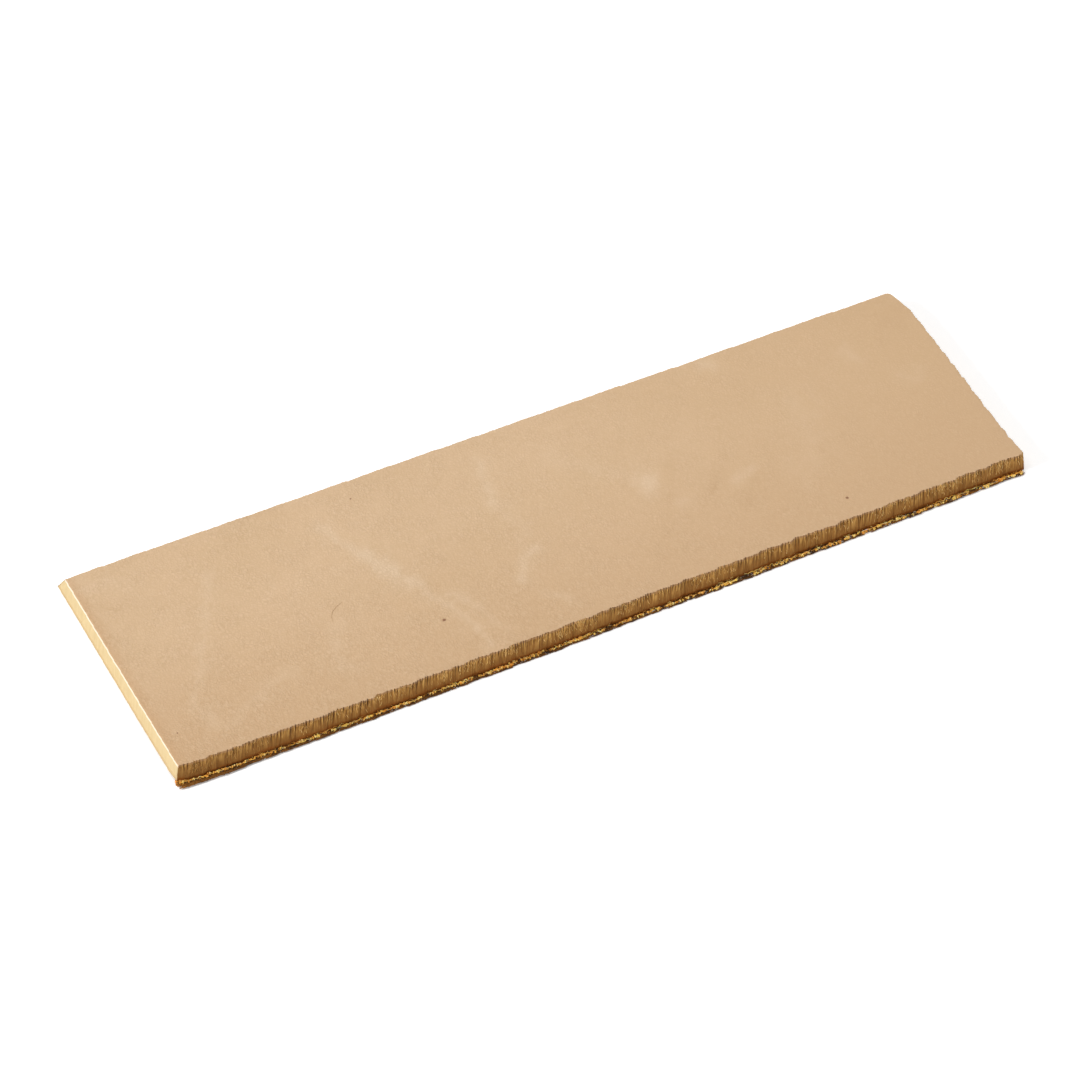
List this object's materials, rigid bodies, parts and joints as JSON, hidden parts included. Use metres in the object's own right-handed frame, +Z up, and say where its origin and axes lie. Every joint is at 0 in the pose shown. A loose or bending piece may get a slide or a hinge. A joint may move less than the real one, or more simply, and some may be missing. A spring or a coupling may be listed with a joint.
{
  "type": "leather strop strip",
  "caption": "Flat rectangular strip of thick vegetable-tanned leather, smooth side up, that a carving blade is drawn along to polish its edge.",
  "frame": {"origin": "centre of the underside, the flesh side that the strip lies on", "axes": "+X along the length, +Y across the width towards the slanted long side, +Z up towards the smooth grain side"},
  "size_m": [0.176, 0.0558, 0.0052],
  "materials": {
    "flesh_leather": "rough fibrous nap",
    "corium_leather": "raw cut fibre, matte",
    "grain_leather": "smooth undyed grain, matte"
  },
  "bodies": {
    "root": {"flesh_layer": "flesh_leather", "corium_layer": "corium_leather", "grain_layer": "grain_leather"}
  },
  "joints": []
}
